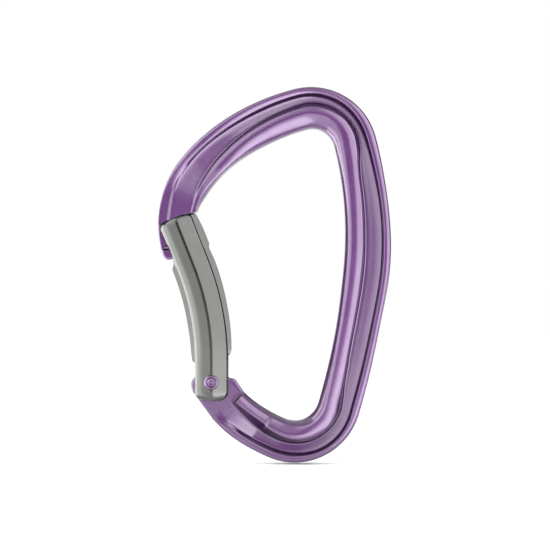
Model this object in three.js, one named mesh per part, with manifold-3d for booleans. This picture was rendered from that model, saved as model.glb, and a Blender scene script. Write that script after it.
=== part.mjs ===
// Bent-gate snap carabiner with a hook-free nose, shut by a spring and plunger inside the gate.
// Millimetres.  +Z is up, the ring lies in the XZ plane, the gate is on the -X side.
// Every shape is drawn around the gate rivet, and the whole is then centred on its own box.
import * as THREE from 'three';
import { mergeVertices } from 'three/addons/utils/BufferGeometryUtils.js';
import Module from 'manifold-3d';

const wasm = await Module();
wasm.setup();

// ---------------------------------------------------------------- driving sizes

// The body's middle line, from nose to rivet.  Each bend turns clockwise.
const BENDS = [
  { name: 'nose_hook', radius: 20.8, turn: 80 },
  { name: 'long_arm', radius: 53.0, turn: 35.7 },
  { name: 'wide_bend', radius: 12.1, turn: 89.1 },
  { name: 'upper_spine', radius: 94.8, turn: 22.2 },
  { name: 'lower_spine', radius: 212.0, turn: 9.3 },
  { name: 'narrow_bend', radius: 12.3, turn: 97.7 },
  { name: 'short_arm', radius: 41.2, turn: 31.4 },
];
const HINGE_SET_IN = 0.55; // the rivet sits this far inside the middle line
const TIP_SET_OUT = 0.6; // and the middle of the gate's flat end is this far outside it
const FORGING_END = 0.69; // share of the short arm where the deep section stops

// Section of the forging.  The first number of each pair is bend index plus share of that bend.
const OUTER_EDGE = [[0.55, 4.9], [1.2, 5.75], [2, 5.5], [3.2, 5.5], [3.9, 6.2], [4.4, 5.65], [5.3, 5.65], [6, 5.45],
  [6.45, 5.7], [7, 5.1]];
const INNER_EDGE = [[0.55, 4.8], [0.92, 5.65], [1.2, 5.4], [1.7, 5.8], [2.4, 5.45], [3.9, 6], [4.5, 5.6], [5.5, 5.5],
  [6, 5.7], [6.55, 5.5]];
const OUTER_RIDGE = [[0.55, 3.6], [1.2, 4.4], [2.3, 4.5], [3.8, 5.1], [4.7, 4.5], [6, 4.3], [6.7, 4.3]];
const OUTER_FOOT = [[0.7, 2.3], [1.2, 3.0], [2, 2.7], [2.4, 3.1], [3, 2.5], [3.8, 3.3], [4.7, 2.6], [5.5, 3.1],
  [6, 2.7], [6.7, 2.9]];
const INNER_FOOT = [[0.92, -2.6], [1.3, -1.1], [1.8, 0.1], [2.3, 1.2], [2.95, 1.1], [3.25, -0.5], [4.4, -0.7], [5, 1],
  [5.4, 1], [6, 0.1], [6.4, 0], [6.7, -1.3]];
const INNER_RIDGE = [[0.7, -3.8], [1.3, -3.2], [2.1, -1.9], [2.8, -1.9], [3.4, -3.1], [4.6, -3.2], [5.1, -2.1],
  [5.6, -2.1], [6.7, -3.4]];
const TANG_HALF = 1.9; // half thickness of the flat plate inside the gate's fork
const OUTER_HEIGHT = [[0.55, 3.6], [1.2, 4.2], [2.5, 4.6], [3.8, 4.4], [5.5, 4.5], [6.1, 3.5], [6.7, TANG_HALF + 0.05]];
const INNER_HEIGHT = [[0.55, 3.6], [1.2, 4.5], [2.3, 5.5], [3.8, 5.2], [5.3, 5.5], [6.7, 4.4]];
const WEB_HEIGHT = [[0.55, 3.5], [0.85, 3.1], [1.5, 1.6], [5.4, 1.4], [6.3, 1.2], [6.7, TANG_HALF]];

// Outline of the plate inside the fork: circles that one belt goes round.
const TANG_CROWN = { x: 0, z: 0, radius: 4.4 };
const TANG_HEEL = { x: -2.4, z: -0.9, radius: 3.05 };
const TANG_EAR = { x: 5.1, z: -0.9, radius: 1.9 };
const TANG_FOOT_RADIUS = 1.5;
const TANG_FOOT_AT = 6.66;

// Nose of the body: a T that hooks behind the gate's cheeks.
const NECK_HALF = 1.5;
const BULB_HALF = 2.7;
const NECK_LENGTH = 6.5; // from the gate's end to the bulb
const BULB_LENGTH = 3.7;
const NOSE_PAST_MIDDLE = 2.8; // degrees, seen from the rivet, past the middle of the gate's end
const NOSE_CORNER = 1.6;

// Gate.
const GATE_WIDTH = 9.3;
const GATE_SQUARENESS = 2.8; // 2 is an ellipse, more is nearer a rounded rectangle
const GATE_DEPTH = 8.4;
const GATE_TAIL = 4.85; // below the rivet
const GATE_STRAIGHT = 5.7; // above the rivet, up to the bend
const GATE_BEND = { radius: 68, turn: 21.4 };
const GATE_UPPER = 13.6;
const GATE_CORNER = 1.5;
const FIN_HALF = 1.3;
const FIN_OUT = 0.8; // stands out of the bar on the outer side
const FIN_IN = 0.7; // and on the rope side
const OUTER_FIN_START = 5.6; // above the rivet
const INNER_FIN_START = 6.6;
const OUTER_FIN_STOP = 0.3; // below the nose
const INNER_FIN_STOP = 1.2; // below the gate's end
const OPENING = 32; // degrees of gate travel

// Rivet, plunger and spring.
const RIVET_RADIUS = 1.5;
const RIVET_HEAD_LIP = 0.4; // how much wider a head is than the shank
const RIVET_HEAD_SUNK = 0.5; // its seat, below the gate's side
const RIVET_HEAD_THICK = 0.65;
const PLUNGER_RADIUS = 1.95;
const PLUNGER_ABOVE_CROWN = 0.2;
const PLUNGER_SHOWS = 2.4; // length of plunger that stands out of its bore with the gate shut
const PLUNGER_LIFT = 1.5; // millimetres for each radian that the gate turns
const PLUNGER_HEAD = 4.3;
const SPIGOT_LENGTH = 2.0;
const SPRING_WIRE = 0.55;
const SPRING_TURNS = 8;
const SPRING_LENGTH = 9.8;

// Clearances.
const RUNNING_FIT = 0.09;
const FORK_GAP = 0.25;
const CAM_GAP = 0.12;
const NOSE_GAP = 0.3;
const BORE_GAP = 0.15;
const SPRING_GAP = 0.12; // at the spring's ends
const SPRING_SIDE_GAP = 0.125; // inside the plunger's width
const SPIGOT_GAP = 0.325;
const PRESS_GAP = 0.04;
const LOAD_FLAT = 0.15; // depth of the flat left where a rope or bolt hanger bears
const LOAD_FLAT_WIDTH = 2.6;

// ---------------------------------------------------------------- small geometry helpers

const rad = (degrees) => degrees * Math.PI / 180;

// A smooth line through a few [position, value] pairs, level at its ends and never overshooting.
function smoothCurve(pairs) {
  const n = pairs.length;
  const slope = pairs.map((pair, i) => {
    if (i === 0 || i === n - 1) return 0;
    const before = (pair[1] - pairs[i - 1][1]) / (pair[0] - pairs[i - 1][0]);
    const after = (pairs[i + 1][1] - pair[1]) / (pairs[i + 1][0] - pair[0]);
    return before * after <= 0 ? 0 : 2 * before * after / (before + after);
  });
  return (at) => {
    if (at <= pairs[0][0]) return pairs[0][1];
    if (at >= pairs[n - 1][0]) return pairs[n - 1][1];
    const i = pairs.findIndex((pair) => pair[0] > at) - 1;
    const span = pairs[i + 1][0] - pairs[i][0];
    const t = (at - pairs[i][0]) / span;
    const u = 1 - t;
    return pairs[i][1] * u * u * (1 + 2 * t) + pairs[i + 1][1] * t * t * (3 - 2 * t)
      + span * t * u * (slope[i] * u - slope[i + 1] * t);
  };
}

// A route of straight runs and bends in the XZ plane.  point(index plus share) gives its place,
// its direction and the normal on its left.
function route(pieces, start, heading) {
  const joints = [{ x: start.x, z: start.z, a: heading }];
  const walk = (from, piece, share) => {
    if (piece.length) {
      const d = piece.length * share;
      return { x: from.x + d * Math.cos(from.a), z: from.z + d * Math.sin(from.a), a: from.a };
    }
    const a = from.a + rad(piece.turn) * share * (piece.left ? 1 : -1);
    const side = piece.left ? 1 : -1;
    return {
      x: from.x + side * piece.radius * (Math.sin(a) - Math.sin(from.a)),
      z: from.z - side * piece.radius * (Math.cos(a) - Math.cos(from.a)),
      a,
    };
  };
  for (const piece of pieces) joints.push(walk(joints[joints.length - 1], piece, 1));
  const point = (at) => {
    const i = Math.min(pieces.length - 1, Math.max(0, Math.floor(at)));
    const p = walk(joints[i], pieces[i], at - i);
    return { ...p, nx: -Math.sin(p.a), nz: Math.cos(p.a) };
  };
  return { point, end: joints[pieces.length] };
}

const aside = (p, distance) => ({ x: p.x + p.nx * distance, z: p.z + p.nz * distance });

// Places seen from the rivet: a distance, and an angle in degrees to the left of straight up.
const polar = (reach, degrees) => ({ x: -reach * Math.sin(rad(degrees)), z: reach * Math.cos(rad(degrees)) });
const leftOfUp = (p) => Math.atan2(-p.x, p.z) * 180 / Math.PI;

// A closed skin over a list of rings with equally many points, each end closed by a fan.
function skin(rings) {
  const count = rings[0].length;
  const positions = rings.flat(2);
  const index = [];
  for (let i = 0; i + 1 < rings.length; i++) {
    for (let j = 0; j < count; j++) {
      const a = i * count + j;
      const b = i * count + (j + 1) % count;
      index.push(a, b, a + count, b, b + count, a + count);
    }
  }
  for (const [row, turn] of [[0, 1], [rings.length - 1, 0]]) {
    const middle = new THREE.Vector3();
    for (const p of rings[row]) middle.add(new THREE.Vector3(...p));
    middle.divideScalar(count);
    const hub = positions.length / 3;
    positions.push(middle.x, middle.y, middle.z);
    for (let j = 0; j < count; j++) {
      const a = row * count + j;
      const b = row * count + (j + 1) % count;
      index.push(hub, turn ? b : a, turn ? a : b);
    }
  }
  const geometry = new THREE.BufferGeometry();
  geometry.setAttribute('position', new THREE.Float32BufferAttribute(positions, 3));
  geometry.setIndex(index);
  return solidOf(geometry);
}

function solidOf(geometry) {
  const bare = geometry.clone();
  bare.deleteAttribute('normal');
  bare.deleteAttribute('uv');
  const merged = mergeVertices(bare, 1e-4);
  const make = (triVerts) => new wasm.Manifold(new wasm.Mesh({
    numProp: 3, vertProperties: merged.attributes.position.array, triVerts,
  }));
  const made = make(new Uint32Array(merged.index.array));
  return made.volume() > 0 ? made : make(new Uint32Array(merged.index.array).reverse());
}

function geometryOf(solid) {
  const mesh = solid.getMesh();
  const geometry = new THREE.BufferGeometry();
  geometry.setAttribute('position', new THREE.BufferAttribute(new Float32Array(mesh.vertProperties), 3));
  geometry.setIndex(new THREE.BufferAttribute(new Uint32Array(mesh.triVerts), 1));
  geometry.computeVertexNormals();
  return geometry;
}

// A plate of the given half thickness about the middle plane, from an outline of {x, z} points.
function plate(outline, half) {
  const shape = new THREE.Shape(outline.map((p) => new THREE.Vector2(p.x, p.z)));
  const geometry = new THREE.ExtrudeGeometry(shape, { depth: 2 * half, bevelEnabled: false });
  geometry.translate(0, 0, -half);
  geometry.rotateX(Math.PI / 2);
  return solidOf(geometry);
}

function turned(profile, sides) {
  return solidOf(new THREE.LatheGeometry(profile.map(([r, y]) => new THREE.Vector2(r, y)), sides));
}

function cylinderY(radius, half, sides) {
  return turned([[0, -half], [radius, -half], [radius, half], [0, half]], sides);
}

function box(x0, x1, y0, y1, z0, z1) {
  const geometry = new THREE.BoxGeometry(x1 - x0, y1 - y0, z1 - z0);
  geometry.translate((x0 + x1) / 2, (y0 + y1) / 2, (z0 + z1) / 2);
  return solidOf(geometry);
}

// Belt round circles given in anticlockwise order, each {x, z, radius}.
function belt(circles) {
  const tangent = circles.map((a, i) => {
    const b = circles[(i + 1) % circles.length];
    const dx = b.x - a.x;
    const dz = b.z - a.z;
    return Math.atan2(dz, dx) - Math.PI / 2 + Math.asin((b.radius - a.radius) / Math.hypot(dx, dz)) * -1;
  });
  return circles.flatMap((circle, i) => {
    const from = tangent[(i + circles.length - 1) % circles.length];
    const sweep = ((tangent[i] - from) % (2 * Math.PI) + 2 * Math.PI) % (2 * Math.PI);
    const steps = Math.max(1, Math.ceil(sweep / rad(15)));
    return Array.from({ length: steps + 1 }, (_, k) => {
      const a = from + sweep * k / steps;
      return { x: circle.x + circle.radius * Math.cos(a), z: circle.z + circle.radius * Math.sin(a) };
    });
  });
}

// ---------------------------------------------------------------- routes

const gateRoute = route(
  [{ length: GATE_TAIL }, { length: GATE_STRAIGHT }, { ...GATE_BEND, left: true }, { length: GATE_UPPER }],
  { x: 0, z: -GATE_TAIL }, rad(90),
);
const gateBendLength = GATE_BEND.radius * rad(GATE_BEND.turn);
const gateTip = gateRoute.end;

// Place along the gate at a distance from the rivet.
function gateAt(distance) {
  if (distance < 0) return gateRoute.point(1 + distance / GATE_TAIL);
  if (distance < GATE_STRAIGHT) return gateRoute.point(1 + distance / GATE_STRAIGHT);
  const past = distance - GATE_STRAIGHT;
  if (past < gateBendLength) return gateRoute.point(2 + past / gateBendLength);
  return gateRoute.point(3 + (past - gateBendLength) / GATE_UPPER);
}
const gateLength = GATE_STRAIGHT + gateBendLength + GATE_UPPER;
const tipReach = Math.hypot(gateTip.x, gateTip.z);
const bulbHigh = tipReach - NECK_LENGTH;
const bulbLow = bulbHigh - BULB_LENGTH;
const noseInner = leftOfUp(gateTip) - NOSE_PAST_MIDDLE;

// The body's route turned about the rivet, which stays HINGE_SET_IN inside its end.
function bodyRouteTurned(turn) {
  const end = route(BENDS, { x: 0, z: 0 }, turn).end;
  const x = -Math.sin(end.a) * HINGE_SET_IN - end.x;
  const z = Math.cos(end.a) * HINGE_SET_IN - end.z;
  return route(BENDS, { x, z }, turn);
}

// Share of the nose hook where a line beside the route is at a distance from the rivet.
function shareAtReach(line, offset, reach) {
  let low = 0;
  let high = 1;
  for (let i = 0; i < 50; i++) {
    const middle = (low + high) / 2;
    const p = aside(line.point(middle), offset(middle));
    if (Math.hypot(p.x, p.z) < reach) low = middle;
    else high = middle;
  }
  return low;
}

// The body is turned until its arm meets the gate's end.
const unturned = bodyRouteTurned(0);
const meeting = aside(unturned.point(shareAtReach(unturned, () => TIP_SET_OUT, tipReach)), TIP_SET_OUT);
const bodyRoute = bodyRouteTurned(Math.atan2(gateTip.z, gateTip.x) - Math.atan2(meeting.z, meeting.x));

// ---------------------------------------------------------------- sizes that follow

const plungerRest = TANG_CROWN.radius + PLUNGER_ABOVE_CROWN; // height of the plunger's flat tip above the rivet
const forkTop = plungerRest + PLUNGER_SHOWS;
const boreRadius = PLUNGER_RADIUS + BORE_GAP;
const springFoot = plungerRest + PLUNGER_HEAD + SPRING_GAP;
const springRadius = PLUNGER_RADIUS - SPRING_SIDE_GAP - SPRING_WIRE / 2; // to the middle of the wire
const spigotRadius = springRadius - SPRING_WIRE / 2 - SPIGOT_GAP;
const boreTop = springFoot + SPRING_LENGTH + SPRING_GAP;
const headRadius = RIVET_RADIUS + RIVET_HEAD_LIP;
const headSeat = GATE_DEPTH / 2 - RIVET_HEAD_SUNK; // from the middle plane to the underside of a head
const headTop = headSeat + RIVET_HEAD_THICK;

// ---------------------------------------------------------------- body

const edge = {
  outer: smoothCurve(OUTER_EDGE),
  inner: smoothCurve(INNER_EDGE),
  outerRidge: smoothCurve(OUTER_RIDGE),
  outerFoot: smoothCurve(OUTER_FOOT),
  innerFoot: smoothCurve(INNER_FOOT),
  innerRidge: smoothCurve(INNER_RIDGE),
  outerHeight: smoothCurve(OUTER_HEIGHT),
  innerHeight: smoothCurve(INNER_HEIGHT),
  web: smoothCurve(WEB_HEIGHT),
};

// Control polygon of half the section, [distance from the middle line, height], outer edge first.
function halfSection(at) {
  const o = edge.outer(at);
  const i = -edge.inner(at);
  const or = edge.outerRidge(at);
  const ir = edge.innerRidge(at);
  const of = edge.outerFoot(at);
  const nf = edge.innerFoot(at);
  const ho = edge.outerHeight(at);
  const hi = edge.innerHeight(at);
  const w = edge.web(at);
  return [
    [o, 0], [o, 0.55 * ho], [(o + or) / 2, 1.02 * ho], [or - 0.3, ho], [of + 0.4, 0.4 * ho + 0.6 * w],
    [of, w], [of - 0.6, w], [nf + 0.6, w], [nf, w], [nf - 0.5, 0.5 * hi + 0.5 * w],
    [0.5 * nf + 0.5 * ir, 0.95 * hi], [ir, hi], [0.35 * ir + 0.65 * i, 0.88 * hi], [i, 0.5 * hi], [i, 0],
  ];
}

// The section's smooth outline: a cubic B-spline on the mirrored control polygon.
function section(at) {
  const half = halfSection(at);
  const polygon = [...half, ...half.slice(1, -1).reverse().map(([t, y]) => [t, -y])];
  const n = polygon.length;
  return polygon.map((p, k) => {
    const before = polygon[(k + n - 1) % n];
    const after = polygon[(k + 1) % n];
    return [(before[0] + 4 * p[0] + after[0]) / 6, (before[1] + 4 * p[1] + after[1]) / 6];
  });
}

function forging() {
  const rings = [];
  BENDS.forEach((bend, i) => {
    const last = i === BENDS.length - 1;
    const length = bend.radius * rad(bend.turn);
    const steps = Math.ceil(Math.max(length / 3, bend.turn / 8) * (last ? FORGING_END : 1));
    const share = last ? FORGING_END : 1;
    for (let k = i === 0 ? 0 : 1; k <= steps; k++) {
      const at = i + share * k / steps;
      const p = bodyRoute.point(at);
      rings.push(section(at).map(([t, y]) => [p.x + p.nx * t, y, p.z + p.nz * t]));
    }
  });
  return skin(rings);
}

// Flat plate that the gate's fork straddles, with the cam that lifts the plunger.
function tang() {
  const foot = bodyRoute.point(TANG_FOOT_AT);
  const outerFoot = aside(foot, edge.outer(TANG_FOOT_AT) - TANG_FOOT_RADIUS);
  const innerFoot = aside(foot, TANG_FOOT_RADIUS - edge.inner(TANG_FOOT_AT));
  const outline = belt([
    { ...outerFoot, radius: TANG_FOOT_RADIUS },
    { ...innerFoot, radius: TANG_FOOT_RADIUS },
    TANG_EAR, TANG_CROWN, TANG_HEEL,
  ]);
  // Involute of a circle: its height under the flat plunger grows evenly with the gate's turn.
  const cam = [{ x: 0, z: 0 }];
  for (let degrees = OPENING + 3; degrees >= 0; degrees -= 2.5) {
    const h = plungerRest - CAM_GAP + PLUNGER_LIFT * rad(degrees);
    const s = Math.sin(rad(degrees));
    const c = Math.cos(rad(degrees));
    cam.push({ x: h * s + PLUNGER_LIFT * c, z: h * c - PLUNGER_LIFT * s });
  }
  cam.push({ x: 0, z: TANG_CROWN.radius });
  return plate(outline, TANG_HALF).add(plate(cam, TANG_HALF));
}

// Angle of the arm's outer edge, carried on past the shoulder, at a distance from the rivet.
function backAngle(reach) {
  const share = shareAtReach(bodyRoute, edge.outer, reach);
  return leftOfUp(aside(bodyRoute.point(share), edge.outer(share)));
}

// Outline of the nose between two distances from the rivet, its back following the arm's outer edge.
function noseOutline(low, high, corner) {
  const start = backAngle(low + corner);
  const cornerTurn = corner / low * 180 / Math.PI;
  const outline = [];
  for (let k = 0; k <= 6; k++) {
    const reach = high + (low + corner - high) * k / 6;
    outline.push(polar(reach, backAngle(reach)));
  }
  for (let k = 1; k <= 4; k++) {
    const a = Math.PI / 2 * k / 4;
    outline.push(polar(low + corner * (1 - Math.sin(a)), start - cornerTurn * (1 - Math.cos(a))));
  }
  for (let k = 1; k <= 4; k++) {
    const angle = start - cornerTurn;
    outline.push(polar(low, angle + (noseInner - angle) * k / 4));
  }
  outline.push(polar(high, noseInner));
  return outline;
}

// Half space above the gate's flat end, tilted as the gate's upper part is.
function aboveGate(gap) {
  const end = { ...gateTip, nx: -Math.sin(gateTip.a), nz: Math.cos(gateTip.a) };
  const start = { x: end.x + gap * Math.cos(end.a), z: end.z + gap * Math.sin(end.a) };
  const corners = [[0, -30], [60, -30], [60, 30], [0, 30]];
  return plate(corners.map(([up, side]) => ({
    x: start.x + up * Math.cos(end.a) + side * end.nx,
    z: start.z + up * Math.sin(end.a) + side * end.nz,
  })), 20);
}

function makeBody() {
  const noseSpace = box(-30, 0, -20, 20, 20, gateTip.z + 10);
  const cutAway = noseSpace.subtract(aboveGate(NOSE_GAP));
  const shoulder = tipReach + 2;
  const nose = plate(noseOutline(bulbHigh - 1, shoulder, 0.5), NECK_HALF)
    .add(plate(noseOutline(bulbLow, bulbHigh, NOSE_CORNER), BULB_HALF));
  const bore = cylinderY(RIVET_RADIUS + RUNNING_FIT, 10, 32);
  return forging().subtract(cutAway).add(nose).add(tang()).subtract(bore)
    .subtract(loadFlat(2.5)).subtract(loadFlat(5.5));
}

// Block that leaves a small level flat on the rope side of a bend, square to the Z axis.
function loadFlat(at) {
  const p = bedPoint(at);
  const up = Math.sign(p.z - bodyRoute.point(3.9).z);
  const face = p.z + up * LOAD_FLAT;
  return box(p.x - LOAD_FLAT_WIDTH / 2, p.x + LOAD_FLAT_WIDTH / 2, -6, 6, Math.min(face, face - 3 * up),
    Math.max(face, face - 3 * up));
}

// The point on a bend's rope side that is furthest up or down.
function bedPoint(bend) {
  const points = [];
  for (let at = bend - 0.9; at <= bend + 0.9; at += 0.01) points.push(aside(bodyRoute.point(at), -edge.inner(at)));
  const top = bodyRoute.point(bend).z > bodyRoute.point(3.9).z;
  return points.reduce((best, p) => (top ? p.z > best.z : p.z < best.z) ? p : best);
}

// ---------------------------------------------------------------- gate

const squared = (value) => Math.sign(value) * Math.abs(value) ** (2 / GATE_SQUARENESS);

// Rounded bar along the gate's route, its ends drawn in by a corner.
function gateBar() {
  const stations = [];
  for (const share of [0, 0.12, 0.4, 1]) stations.push(-GATE_TAIL + GATE_CORNER * share);
  for (let d = 0; d < GATE_STRAIGHT; d += 2) stations.push(d);
  const bendSteps = 9;
  for (let k = 0; k <= bendSteps; k++) stations.push(GATE_STRAIGHT + gateBendLength * k / bendSteps);
  for (const share of [1, 0.4, 0.12, 0]) stations.push(gateLength - GATE_CORNER * share);
  const sides = 28;
  return skin(stations.map((d) => {
    const p = gateAt(d);
    const inset = Math.min(d + GATE_TAIL, gateLength - d, GATE_CORNER);
    const draw = GATE_CORNER - Math.sqrt(GATE_CORNER ** 2 - (GATE_CORNER - inset) ** 2);
    return Array.from({ length: sides }, (_, k) => {
      const a = 2 * Math.PI * k / sides;
      const t = (GATE_WIDTH / 2 - draw) * squared(Math.cos(a));
      const y = (GATE_DEPTH / 2 - 0.5 * draw) * squared(Math.sin(a));
      return [p.x + p.nx * t, y, p.z + p.nz * t];
    });
  }));
}

// Flat rib along one side of the bar; side +1 is the outer side, -1 the rope side.
function gateFin(side, reach, span) {
  const steps = 14;
  const rim = [];
  const root = [];
  for (let k = 0; k <= steps; k++) {
    const d = span.from + (span.to - span.from) * k / steps;
    const ends = Math.min(1, (d - span.from) / 2, (span.to - d) / 2);
    const p = gateAt(d);
    rim.push(aside(p, side * (GATE_WIDTH / 2 - 0.3 + (reach + 0.3) * Math.max(0, ends))));
    root.push(aside(p, side * (GATE_WIDTH / 2 - 1.6)));
  }
  return plate([...rim, ...root.reverse()], FIN_HALF);
}

function makeGate() {
  const fork = box(-20, 20, -TANG_HALF - FORK_GAP, TANG_HALF + FORK_GAP, -20, forkTop);
  const bore = turned([[0, plungerRest - 1], [boreRadius, plungerRest - 1],
    [boreRadius, boreTop], [0, boreTop]], 24).rotate([90, 0, 0]);
  const rivetHole = cylinderY(RIVET_RADIUS + PRESS_GAP, 10, 32);
  const seat = cylinderY(headRadius + PRESS_GAP, 10, 32)
    .subtract(cylinderY(headRadius + 2, headSeat - PRESS_GAP, 32));
  return gateBar()
    .add(gateFin(1, FIN_OUT, { from: OUTER_FIN_START, to: bulbLow - OUTER_FIN_STOP }))
    .add(gateFin(-1, FIN_IN, { from: INNER_FIN_START, to: gateLength - INNER_FIN_STOP }))
    .subtract(fork).subtract(bore).subtract(rivetHole).subtract(seat)
    .subtract(noseSlot(bulbHigh - 1, tipReach + 15, NECK_HALF)).subtract(noseSlot(bulbLow, bulbHigh, BULB_HALF));
}

// Space in the gate for part of the nose, open towards the outer side.
function noseSlot(low, high, half) {
  const inner = noseInner - NOSE_GAP * 2 / low * 180 / Math.PI;
  const outer = noseInner + 30;
  const steps = 10;
  const outline = [];
  for (let k = 0; k <= steps; k++) outline.push(polar(low - NOSE_GAP, outer + (inner - outer) * k / steps));
  for (let k = 0; k <= steps; k++) outline.push(polar(high + NOSE_GAP, inner + (outer - inner) * k / steps));
  return plate(outline, half + NOSE_GAP);
}

// ---------------------------------------------------------------- rivet, plunger, spring

function makeRivet() {
  const half = [[RIVET_RADIUS, 0], [RIVET_RADIUS, headSeat], [headRadius, headSeat],
    [headRadius, headTop - 0.25], [headRadius - 0.3, headTop],
    [headRadius - 0.75, headTop], [headRadius - 1.1, headTop - 0.45],
    [0, headTop - 0.45]];
  const mirrored = half.slice(1).reverse().map(([r, y]) => [r, -y]);
  return turned([...mirrored, ...half.slice(1)], 32);
}

function makePlunger() {
  const head = plungerRest + PLUNGER_HEAD;
  return turned([[0, plungerRest], [PLUNGER_RADIUS - 0.15, plungerRest], [PLUNGER_RADIUS, plungerRest + 0.3],
    [PLUNGER_RADIUS, head], [spigotRadius, head], [spigotRadius, head + SPIGOT_LENGTH - 0.2],
    [spigotRadius - 0.2, head + SPIGOT_LENGTH], [0, head + SPIGOT_LENGTH]], 24).rotate([90, 0, 0]);
}

// Compression spring: a helix whose end turns lie flat.
class SpringLine extends THREE.Curve {
  getPoint(t, target = new THREE.Vector3()) {
    const a = 2 * Math.PI * SPRING_TURNS * t;
    const low = springFoot + SPRING_WIRE / 2;
    const high = boreTop - SPRING_GAP - SPRING_WIRE / 2;
    const dead = 0.75 / SPRING_TURNS;
    const rise = Math.min(1, Math.max(0, (t - dead) / (1 - 2 * dead)));
    const lift = (0.9 + 0.1 * rise * (3 - 2 * rise)) * rise;
    const z = low + SPRING_WIRE * 1.1 * Math.min(1, t / dead) + (high - low - SPRING_WIRE * 2.2) * lift
      + SPRING_WIRE * 1.1 * Math.min(1, Math.max(0, (t - 1 + dead) / dead));
    return target.set(springRadius * Math.cos(a), springRadius * Math.sin(a), z);
  }
}

function makeSpring() {
  const sides = 6;
  const ring = Array.from({ length: sides }, (_, k) => new THREE.Vector2(
    SPRING_WIRE / 2 * Math.cos(2 * Math.PI * k / sides), SPRING_WIRE / 2 * Math.sin(2 * Math.PI * k / sides),
  ));
  const geometry = new THREE.ExtrudeGeometry(new THREE.Shape(ring), {
    steps: SPRING_TURNS * 14, extrudePath: new SpringLine(), bevelEnabled: false,
  });
  return solidOf(geometry);
}

// ---------------------------------------------------------------- assembly

const anodisedPurple = { color: 0x8a689c, roughness: 0.35, metalness: 0.9 };
const anodisedGrey = { color: 0x8b8c88, roughness: 0.3, metalness: 0.9 };
const steel = { color: 0xb9bcc0, roughness: 0.25, metalness: 1 };
const springSteel = { color: 0x9a9ca0, roughness: 0.35, metalness: 1 };

const hingeFrame = new THREE.Group();
function addPiece(name, solid, finish) {
  const mesh = new THREE.Mesh(geometryOf(solid), new THREE.MeshStandardMaterial(finish));
  mesh.name = name;
  hingeFrame.add(mesh);
}
addPiece('body', makeBody(), anodisedPurple);
addPiece('gate', makeGate(), anodisedGrey);
addPiece('hinge_rivet', makeRivet(), anodisedPurple);
addPiece('plunger', makePlunger(), steel);
addPiece('gate_spring', makeSpring(), springSteel);

// The part's origin is the middle of its own box.
const carabiner = new THREE.Group();
carabiner.name = 'carabiner';
carabiner.add(hingeFrame);
hingeFrame.position.copy(new THREE.Box3().setFromObject(hingeFrame).getCenter(new THREE.Vector3()).negate());

export default carabiner;
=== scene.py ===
import math

import bpy
import numpy as np
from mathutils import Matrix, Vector
from bpy.props import FloatProperty, FloatVectorProperty, IntProperty, PointerProperty


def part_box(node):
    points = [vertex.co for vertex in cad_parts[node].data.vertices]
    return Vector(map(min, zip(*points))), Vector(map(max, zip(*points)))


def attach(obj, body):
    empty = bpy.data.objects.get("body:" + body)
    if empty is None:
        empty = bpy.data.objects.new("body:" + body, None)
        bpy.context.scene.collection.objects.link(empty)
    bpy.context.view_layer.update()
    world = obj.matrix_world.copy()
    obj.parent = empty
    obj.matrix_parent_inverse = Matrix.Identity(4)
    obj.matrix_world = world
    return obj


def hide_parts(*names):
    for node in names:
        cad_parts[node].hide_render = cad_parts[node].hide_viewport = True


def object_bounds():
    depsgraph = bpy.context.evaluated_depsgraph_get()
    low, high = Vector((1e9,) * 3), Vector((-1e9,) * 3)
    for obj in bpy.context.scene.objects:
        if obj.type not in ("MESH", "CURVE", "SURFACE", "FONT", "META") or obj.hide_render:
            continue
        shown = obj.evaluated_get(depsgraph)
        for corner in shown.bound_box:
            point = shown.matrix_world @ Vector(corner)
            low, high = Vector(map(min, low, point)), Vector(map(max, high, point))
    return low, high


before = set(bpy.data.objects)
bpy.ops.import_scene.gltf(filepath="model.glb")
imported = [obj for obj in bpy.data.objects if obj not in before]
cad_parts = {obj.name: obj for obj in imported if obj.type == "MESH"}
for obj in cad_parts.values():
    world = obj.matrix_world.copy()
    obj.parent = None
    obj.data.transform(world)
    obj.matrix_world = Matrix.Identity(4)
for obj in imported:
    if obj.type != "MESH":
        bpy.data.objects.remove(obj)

bl_info = {
    "name": "Bent-gate carabiner",
    "version": (1, 0, 0),
    "blender": (4, 5, 0),
    "location": "3D View > Sidebar > Carabiner",
    "description": "Builds a bent-gate snap carabiner round its packed CAD frame",
    "category": "Add Mesh",
}

CAD_BOX = [list(corner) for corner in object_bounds()]
RIVET = (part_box("hinge_rivet")[0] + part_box("hinge_rivet")[1]) / 2  # the gate's axis meets the middle plane here
MM = 0.001

# The body's middle line in millimetres from the rivet: where it starts, its heading, and each clockwise
# bend as radius and turn in degrees, from the nose round to the rivet.
ARM_START = (-4.295119, 27.831257)
ARM_HEADING = 2.267600
BENDS = [(20.8, 80), (53.0, 35.7), (12.1, 89.1), (94.8, 22.2), (212.0, 9.3), (12.3, 97.7), (41.2, 31.4)]

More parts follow.
